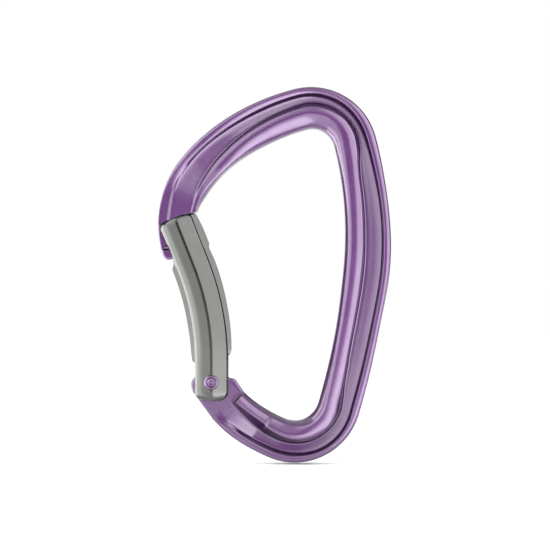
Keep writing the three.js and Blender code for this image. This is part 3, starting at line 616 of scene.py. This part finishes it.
def make_gate(width, depth, head):
    """The gate: bar and fins, less the fork, the plunger's bore, the rivet's hole and head seats, and the T-slot."""
    gate = gate_bar(width, depth)
    outer = [[5.1, 4.5], [5.6, 5.1], [8.5, 5.35], [20, 5.6], [32.0, 5.6], [34.0, 4.6]]
    inner = [[6.6, 4.6], [7.4, 5.0], [8.3, 5.35], [20, 5.6], [30.7, 5.75], [32.6, 5.62], [34.0, 5.55], [35.5, 6.0],
             [38, 6.0], [44.1, 5.5], [44.3, 4.75], [44.55, 4.0]]
    carve(gate, gate_fin("inner_fin", -1, inner, 2.75), "UNION")
    fork = block("fork", [(-20, -20), (20, -20), (20, FORK_TOP), (-20, FORK_TOP)], FORK_HALF)
    carve(gate, fork, "DIFFERENCE")
    carve(gate, gate_fin("outer_fin", 1, outer, 2.25), "UNION")  # its foot bridges the fork, clear of the tang
    carve(gate, turned("bore", [[BORE_RADIUS, PLUNGER_REST - 1], [BORE_RADIUS, BORE_TOP]], 48, "Z"), "DIFFERENCE")
    hole = RIVET_RADIUS + PRESS_GAP
    carve(gate, turned("hole", [[hole, -10], [hole, 10]], 64, "Y"), "DIFFERENCE")
    seat = head + PRESS_GAP
    for name, low, high in (("seat_front", -10, -HEAD_SEAT + PRESS_GAP), ("seat_back", HEAD_SEAT - PRESS_GAP, 10)):
        carve(gate, turned(name, [[seat, low], [seat, high]], 64, "Y"), "DIFFERENCE")
    carve(gate, slot_plate("neck_slot", BULB_HIGH - 1, TIP_REACH + 15, NECK_HALF), "DIFFERENCE")
    carve(gate, slot_plate("bulb_slot", BULB_LOW, BULB_HIGH, BULB_HALF), "DIFFERENCE")
    crease(gate, 28)
    return gate


# ---------------- rivet, plunger, spring

def make_rivet(head, dimple):
    """Peened rivet: its profile is a shank, a head with a raised rim, and a dimple with a small pip in it."""
    pit = HEAD_TOP - dimple
    half = [[RIVET_RADIUS, 0], [RIVET_RADIUS, HEAD_SEAT], [head, HEAD_SEAT], [head, HEAD_TOP - 0.35],
            [head - 0.05, HEAD_TOP - 0.2], [head - 0.18, HEAD_TOP - 0.06], [head - 0.32, HEAD_TOP],
            [head - 0.46, HEAD_TOP - 0.06], [head - 0.58, HEAD_TOP - 0.22], [1.18, pit + 0.36], [1.12, pit + 0.16],
            [1.02, pit + 0.06], [0.92, pit + 0.03], [0.42, pit], [0.34, pit + 0.01], [0.24, pit + 0.11],
            [0.12, pit + 0.16], [0.02, pit + 0.17]]
    profile = [[r, -y] for r, y in half[:0:-1]] + half[1:]
    rivet = turned("hinge_rivet_peened", profile, 64, "Y", "rivet_anodised", "gate")
    crease(rivet, 50)
    return rivet


def make_plunger(r):
    """Plunger: a short piston with softened edges and a spigot that centres the spring."""
    head = PLUNGER_REST + PLUNGER_LENGTH
    profile = [[0.02, PLUNGER_REST], [r - 0.18, PLUNGER_REST], [r - 0.05, PLUNGER_REST + 0.08],
               [r, PLUNGER_REST + 0.3], [r, head - 0.1], [r - 0.1, head], [0.95, head], [0.95, head + 1.8],
               [0.75, head + 2.0], [0.02, head + 2.0]]
    plunger = turned("plunger_turned", profile, 48, "Z", "plunger_steel", "plunger")
    crease(plunger, 35)
    return plunger


def make_spring(wire, turns):
    """Compression spring: a circle of wire carried along a helix. Its height rises by 1.1 wires over the first and
    the last three quarters of a turn, so that the ends lie close, and nearly evenly in between."""
    coil = BORE_RADIUS - SPRING_SIDE_GAP - wire / 2
    low = PLUNGER_REST + PLUNGER_LENGTH + SPRING_END_GAP + wire / 2
    high = BORE_TOP - SPRING_END_GAP - wire / 2
    t = np.linspace(0, 1, turns * 40)
    dead = 0.75 / turns
    rise = np.clip((t - dead) / (1 - 2 * dead), 0, 1)
    lift = (0.9 + 0.1 * rise * (3 - 2 * rise)) * rise
    z = (low + wire * 1.1 * np.clip(t / dead, 0, 1) + (high - low - wire * 2.2) * lift
         + wire * 1.1 * np.clip((t - 1 + dead) / dead, 0, 1))
    a = 2 * math.pi * turns * t
    line = np.stack([coil * np.cos(a), coil * np.sin(a), z], -1)
    forward = np.gradient(line, axis=0)
    forward /= np.linalg.norm(forward, axis=1, keepdims=True)
    out = np.stack([np.cos(a), np.sin(a), 0 * a], -1)
    up = np.cross(forward, out)
    f = np.linspace(0, 2 * math.pi, 12, endpoint=False)
    rings = line[:, None] + wire / 2 * (np.cos(f)[None, :, None] * out[:, None]
                                        + np.sin(f)[None, :, None] * up[:, None])
    spring = loft("gate_spring_coil", rings, "spring_steel", "gate")
    crease(spring, 50)
    return spring


# ---------------- materials

MOTTLE_MM, MARKS_MM = 3.0, 0.2


def linear(code):
    """Linear colour of an sRGB hex code."""
    c = np.array([int(code[i:i + 2], 16) for i in (0, 2, 4)]) / 255
    return tuple(np.where(c <= 0.04045, c / 12.92, ((c + 0.055) / 1.055) ** 2.4)) + (1.0,)


def add(tree, kind, settings=None, **links):
    """A node of that kind with its settings, and its inputs linked from other nodes' outputs or set. An input goes
    by its name with _ for a space, or by its number after an i."""
    node = tree.nodes.new(kind)
    for key, value in (settings or {}).items():
        setattr(node, key, value)
    for key, value in links.items():
        numbered = key[0] == "i" and key[1:].isdigit()
        socket = node.inputs[int(key[1:]) if numbered else key.replace("_", " ")]
        if isinstance(value, bpy.types.NodeSocket):
            tree.links.new(value, socket)
        else:
            socket.default_value = value
    return node


def new_material(name):
    """A material with one Principled shader linked to its output."""
    material = bpy.data.materials.new(name)
    material.use_nodes = True
    tree = material.node_tree
    tree.nodes.clear()
    shader = tree.nodes.new("ShaderNodeBsdfPrincipled")
    output = tree.nodes.new("ShaderNodeOutputMaterial")
    tree.links.new(shader.outputs[0], output.inputs[0])
    return material, tree, shader


def spread(tree, source, low, high):
    """Turns a 0 to 1 pattern into the range from low to high."""
    return add(tree, "ShaderNodeMapRange", None, Value=source, To_Min=low, To_Max=high).outputs[0]


def anodised(name, deep, pale, edge, roughness, coat, grain_mm, bump_mm):
    """Anodised aluminium: a dyed, slightly porous oxide over forged or drawn metal. The dye gives a deep metallic
    colour with a faint mottle, the oxide a clearer gleam on top, and the blasted skin a fine even grain. The real
    grain is about 0.05 mm; it is drawn at grain_mm, as coarse as it needs to show. edge is the metal's colour at a
    glancing look, coat the oxide's weight, roughness and IOR, bump_mm the grain's height."""
    material, tree, shader = new_material(name)
    place = tree.nodes.new("ShaderNodeTexCoord").outputs["Object"]
    grain = add(tree, "ShaderNodeTexNoise", None, Vector=place, Scale=1 / (grain_mm * MM), Detail=2.0, Roughness=0.6)
    mottle = add(tree, "ShaderNodeTexNoise", None, Vector=place, Scale=1 / (MOTTLE_MM * MM), Detail=3.0,
                 Roughness=0.55)
    both = add(tree, "ShaderNodeMath", {"operation": "MULTIPLY_ADD"}, i0=grain.outputs[0], i1=0.55,
               i2=spread(tree, mottle.outputs[0], 0.0, 0.45))
    tone = add(tree, "ShaderNodeMapRange", None, Value=both.outputs[0], From_Min=0.3, From_Max=0.7)
    colour = add(tree, "ShaderNodeMix", {"data_type": "RGBA"}, i0=tone.outputs[0], i6=deep, i7=pale)
    tree.links.new(colour.outputs[2], shader.inputs["Base Color"])
    tree.links.new(spread(tree, grain.outputs[0], roughness - 0.05, roughness + 0.05), shader.inputs["Roughness"])
    bump = add(tree, "ShaderNodeBump", None, Height=grain.outputs[0], Strength=1.0, Distance=bump_mm * MM)
    tree.links.new(bump.outputs[0], shader.inputs["Normal"])
    shader.inputs["Metallic"].default_value = 1.0
    shader.inputs["Specular Tint"].default_value = linear(edge)
    shader.inputs["Coat Weight"].default_value = coat[0]
    shader.inputs["Coat Roughness"].default_value = coat[1]
    shader.inputs["Coat IOR"].default_value = coat[2]
    return material


def steel(name, deep, pale, roughness):
    """Turned or drawn steel: bright metal with tool or draw marks that soften the gleam. The real marks are finer;
    they are drawn at 0.2 mm so that they show."""
    material, tree, shader = new_material(name)
    place = tree.nodes.new("ShaderNodeTexCoord").outputs["Object"]
    marks = add(tree, "ShaderNodeTexNoise", None, Vector=place, Scale=1 / (MARKS_MM * MM), Detail=2.0)
    colour = add(tree, "ShaderNodeMix", {"data_type": "RGBA"}, i0=marks.outputs[0], i6=deep, i7=pale)
    tree.links.new(colour.outputs[2], shader.inputs["Base Color"])
    tree.links.new(spread(tree, marks.outputs[0], roughness - 0.06, roughness + 0.06), shader.inputs["Roughness"])
    shader.inputs["Metallic"].default_value = 1.0
    return material


# ---------------- stage

def direction(azimuth, elevation):
    """Unit direction from the object: azimuth from -Y towards +X, elevation above level, in degrees."""
    a, e = math.radians(azimuth), math.radians(elevation)
    return np.array([math.sin(a) * math.cos(e), -math.cos(a) * math.cos(e), math.sin(e)])


def softbox(name, azimuths, elevations, glow):
    """A soft rectangular light that fills those azimuths and elevations as the object sees it. Its power is its
    radiance times pi times its area."""
    data = bpy.data.lights.new(name, "AREA")
    data.shape = "RECTANGLE"
    data.size = 2 * SOFTBOX_AWAY * math.tan(math.radians(azimuths[1] - azimuths[0]) / 2)
    data.size_y = 2 * SOFTBOX_AWAY * math.tan(math.radians(elevations[1] - elevations[0]) / 2)
    data.energy = glow * math.pi * data.size * data.size_y
    light = bpy.data.objects.new(name, data)
    towards = direction(sum(azimuths) / 2, sum(elevations) / 2)
    light.location = towards * SOFTBOX_AWAY
    light.rotation_mode = "QUATERNION"
    light.rotation_quaternion = Vector(-towards).to_track_quat("-Z", "Y")
    bpy.context.scene.collection.objects.link(light)
    light.visible_camera = False
    return light


def flag(name, azimuths, elevations, material):
    """A curved card on a cylinder round the object, over those azimuths and elevations."""
    a, e = np.meshgrid(np.radians(np.linspace(*azimuths, 13)), np.radians(np.linspace(*elevations, 5)), indexing="ij")
    card = sheet(name, np.stack([np.sin(a), -np.cos(a), np.tan(e)], -1) * FLAG_AWAY, material)
    card.visible_camera = False
    return card


def reflector(name, azimuths, glow, low, radii, lift):
    """A bright card lying just over the floor: a wedge of a ring round the object over those azimuths and radii. It
    lights what faces down, which the softboxes can't reach past the floor."""
    a, r = np.meshgrid(np.radians(np.linspace(*azimuths, 13)), np.linspace(*radii, 5), indexing="ij")
    card = sheet(name, np.stack([r * np.sin(a), -r * np.cos(a), 0 * r + low - FLOOR_DROP + lift], -1),
                 matte(name + "_card", linear("ffffff"), glow))
    card.visible_camera = False
    return card


def matte(name, colour, strength=0.0):
    """Paper or cloth of the studio: quite matt, and glowing a little where it has a strength."""
    material, tree, shader = new_material(name)
    shader.inputs["Base Color"].default_value = colour
    shader.inputs["Roughness"].default_value = 1.0
    shader.inputs["Specular IOR Level"].default_value = 0.0
    if strength:
        shader.inputs["Emission Color"].default_value = colour
        shader.inputs["Emission Strength"].default_value = strength
    return material


def sheet(name, points, material):
    """A flat piece of the stage on a grid of points in metres."""
    points = np.asarray(points, float)
    rows, count = points.shape[:2]
    r, c = np.meshgrid(np.arange(rows - 1), np.arange(count - 1), indexing="ij")
    i = r * count + c
    faces = np.stack([i, i + 1, i + count + 1, i + count], -1).reshape(-1, 4)
    mesh = bpy.data.meshes.new(name)
    mesh.from_pydata(points.reshape(-1, 3), [], faces.tolist())
    mesh.materials.append(material)
    obj = bpy.data.objects.new(name, mesh)
    bpy.context.scene.collection.objects.link(obj)
    return obj


def make_stage(floor):
    """Floor, lens card, white world, softboxes at the sides, cards on the floor, dark flags behind, camera."""
    scene = bpy.context.scene
    scene.view_settings.view_transform = "Standard"
    scene.view_settings.look = "None"
    low = CAD_BOX[0][2]
    x, y = np.meshgrid(np.linspace(-3, 3, 3), np.linspace(-3, 3, 3))
    sheet("floor", np.stack([x, y, 0 * x + low - FLOOR_DROP], -1), matte("matt_white_paper", floor, 0.1))
    away = FIELD * LENS_MM / SENSOR_MM
    # A dark card round the lens, just behind it.
    r, a = np.meshgrid(np.linspace(0.0005, 0.17, 6), np.linspace(0, 2 * math.pi, 49), indexing="ij")
    sheet("lens_card", np.stack([r * np.cos(a), 0 * r - away - 0.01, r * np.sin(a)], -1),
          matte("lens_shade", linear("0a0a0a")))
    world = bpy.data.worlds.new("studio")
    world.use_nodes = True
    tree = world.node_tree
    tree.nodes.clear()
    background = add(tree, "ShaderNodeBackground", None, Color=(1, 1, 1, 1), Strength=1.0)
    output = tree.nodes.new("ShaderNodeOutputWorld")
    tree.links.new(background.outputs[0], output.inputs[0])
    scene.world = world
    for name, azimuths, glow in SOFTBOXES:
        softbox(name, azimuths, LIGHT_ELEVATIONS, glow)
    for name, azimuths, glow, radii, lift in REFLECTORS:
        reflector(name, azimuths, glow, low, radii, lift)
    dark = matte("dark_card", linear("4a4a4a"))
    for name, azimuths in FLAGS:
        flag(name, azimuths, FLAG_ELEVATIONS, dark)
    camera = bpy.data.cameras.new("camera")
    camera.lens = LENS_MM
    camera.sensor_width = SENSOR_MM
    camera.dof.use_dof = False
    obj = bpy.data.objects.new("camera", camera)
    obj.location = (AIM_X, -away, AIM_Z)
    obj.rotation_euler = (math.pi / 2, 0, 0)
    scene.collection.objects.link(obj)
    scene.camera = obj


# ---------------- operators and panel

def length(name, description, millimetres):
    """A length property: its default in metres from millimetres."""
    return FloatProperty(name=name, description=description, default=millimetres * MM, min=0.0, unit="LENGTH",
                         precision=5)


def dye(name, description, code):
    """A colour property: its default from an sRGB hex code."""
    return FloatVectorProperty(name=name, description=description, subtype="COLOR", size=4, min=0, max=1,
                               default=linear(code))


class CarabinerSizes(bpy.types.PropertyGroup):
    tang_thickness: length("Tang thickness", "Across the body's plate inside the gate's fork", 2 * TANG_HALF)
    gate_width: length("Gate width", "Across the gate bar, without its fins", GATE_WIDTH)
    gate_depth: length("Gate depth", "From the gate's front crown to its back one", GATE_DEPTH)
    rivet_head: length("Rivet head", "Diameter of the hinge rivet's heads", 2 * HEAD_RADIUS)
    rivet_dimple: length("Rivet dimple", "Depth of the dimple that the peening left in each head", 1.06)
    plunger_diameter: length("Plunger diameter", "Across the plunger that presses on the cam", 3.9)
    spring_wire: length("Spring wire", "Diameter of the gate spring's wire", 0.55)
    spring_turns: IntProperty(name="Spring turns", description="Turns in the gate spring, its close ends included",
                              default=8, min=4, max=14)


class CarabinerFinish(bpy.types.PropertyGroup):
    body_deep: dye("Body, deep", "Darker tone of the body's dye", "4f2d5b")
    body_pale: dye("Body, pale", "Lighter tone of the body's dye", "5c366a")
    body_roughness: FloatProperty(name="Body roughness", description="Roughness of the blasted metal under the oxide",
                                  default=0.46, min=0.05, max=1.0, subtype="FACTOR")
    gate_deep: dye("Gate, deep", "Darker tone of the gate's dye", "575856")
    gate_pale: dye("Gate, pale", "Lighter tone of the gate's dye", "5e5f5d")
    gate_roughness: FloatProperty(name="Gate roughness", description="Roughness of the gate's drawn surface",
                                  default=0.2, min=0.05, max=1.0, subtype="FACTOR")
    rivet_deep: dye("Rivet, deep", "Darker tone of the rivet's dye", "5e3c6b")
    rivet_pale: dye("Rivet, pale", "Lighter tone of the rivet's dye", "6a4678")
    floor: dye("Floor", "Colour of the studio floor", "f6f6f6")


class CARABINER_OT_body(bpy.types.Operator):
    """Forged body with its nose and tang"""
    bl_idname = "carabiner.body"
    bl_label = "Forged body"

    def execute(self, context):
        sizes, finish = context.scene.carabiner_sizes, context.scene.carabiner_finish
        body = make_body(sizes.tang_thickness / MM / 2)
        body.data.materials.clear()
        body.data.materials.append(anodised("anodised_aluminium_purple", finish.body_deep, finish.body_pale, "7c5a88",
                                            finish.body_roughness, (1.0, 0.17, 1.84), 0.3, 0.0015))
        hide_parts("body")
        return {"FINISHED"}


class CARABINER_OT_gate(bpy.types.Operator):
    """Gate bar with its fins, fork and slot for the nose"""
    bl_idname = "carabiner.gate"
    bl_label = "Gate"

    def execute(self, context):
        sizes, finish = context.scene.carabiner_sizes, context.scene.carabiner_finish
        gate = make_gate(sizes.gate_width / MM, sizes.gate_depth / MM, sizes.rivet_head / MM / 2)
        gate.data.materials.clear()
        gate.data.materials.append(anodised("anodised_aluminium_grey", finish.gate_deep, finish.gate_pale, "ffffff",
                                            finish.gate_roughness, (0.0, 0.2, 1.77), 0.35, 0.0006))
        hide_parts("gate")
        return {"FINISHED"}


class CARABINER_OT_rivet(bpy.types.Operator):
    """Peened hinge rivet"""
    bl_idname = "carabiner.rivet"
    bl_label = "Hinge rivet"

    def execute(self, context):
        sizes, finish = context.scene.carabiner_sizes, context.scene.carabiner_finish
        rivet = make_rivet(sizes.rivet_head / MM / 2, sizes.rivet_dimple / MM)
        rivet.data.materials.append(anodised("anodised_aluminium_violet", finish.rivet_deep, finish.rivet_pale,
                                             "ffffff", 0.32, (1.0, 0.15, 1.85), 0.25, 0.002))
        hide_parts("hinge_rivet")
        return {"FINISHED"}


class CARABINER_OT_closer(bpy.types.Operator):
    """Plunger and spring that shut the gate"""
    bl_idname = "carabiner.closer"
    bl_label = "Plunger and spring"

    def execute(self, context):
        sizes = context.scene.carabiner_sizes
        plunger = make_plunger(sizes.plunger_diameter / MM / 2)
        plunger.data.materials.append(steel("turned_steel", linear("9a9da0"), linear("b8bbbe"), 0.25))
        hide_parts("plunger")
        spring = make_spring(sizes.spring_wire / MM, sizes.spring_turns)
        spring.data.materials.append(steel("spring_wire", linear("85878a"), linear("a2a4a8"), 0.32))
        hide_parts("gate_spring")
        return {"FINISHED"}


class CARABINER_OT_stage(bpy.types.Operator):
    """Floor, lights and camera"""
    bl_idname = "carabiner.stage"
    bl_label = "Studio"

    def execute(self, context):
        make_stage(context.scene.carabiner_finish.floor)
        return {"FINISHED"}


OPERATORS = (CARABINER_OT_body, CARABINER_OT_gate, CARABINER_OT_rivet, CARABINER_OT_closer, CARABINER_OT_stage)


class CARABINER_PT_panel(bpy.types.Panel):
    """Buttons for each piece"""
    bl_idname = "CARABINER_PT_panel"
    bl_label = "Carabiner"
    bl_space_type = "VIEW_3D"
    bl_region_type = "UI"
    bl_category = "Carabiner"

    def draw(self, context):
        scene = context.scene
        for group in (scene.carabiner_sizes, scene.carabiner_finish):
            box = self.layout.box()
            for key in type(group).__annotations__:
                box.prop(group, key)
        for operator in OPERATORS:
            self.layout.operator(operator.bl_idname)


CLASSES = (CarabinerSizes, CarabinerFinish, *OPERATORS, CARABINER_PT_panel)


def register():
    """Adds the classes and the scene's two property groups."""
    for item in CLASSES:
        bpy.utils.register_class(item)
    bpy.types.Scene.carabiner_sizes = PointerProperty(type=CarabinerSizes)
    bpy.types.Scene.carabiner_finish = PointerProperty(type=CarabinerFinish)


def unregister():
    """Takes away what register adds."""
    del bpy.types.Scene.carabiner_finish
    del bpy.types.Scene.carabiner_sizes
    for item in reversed(CLASSES):
        bpy.utils.unregister_class(item)


def main():
    """Registers the add-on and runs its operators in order."""
    register()
    for operator in OPERATORS:
        group, name = operator.bl_idname.split(".")
        getattr(getattr(bpy.ops, group), name)()


if __name__ == "__main__":
    main()
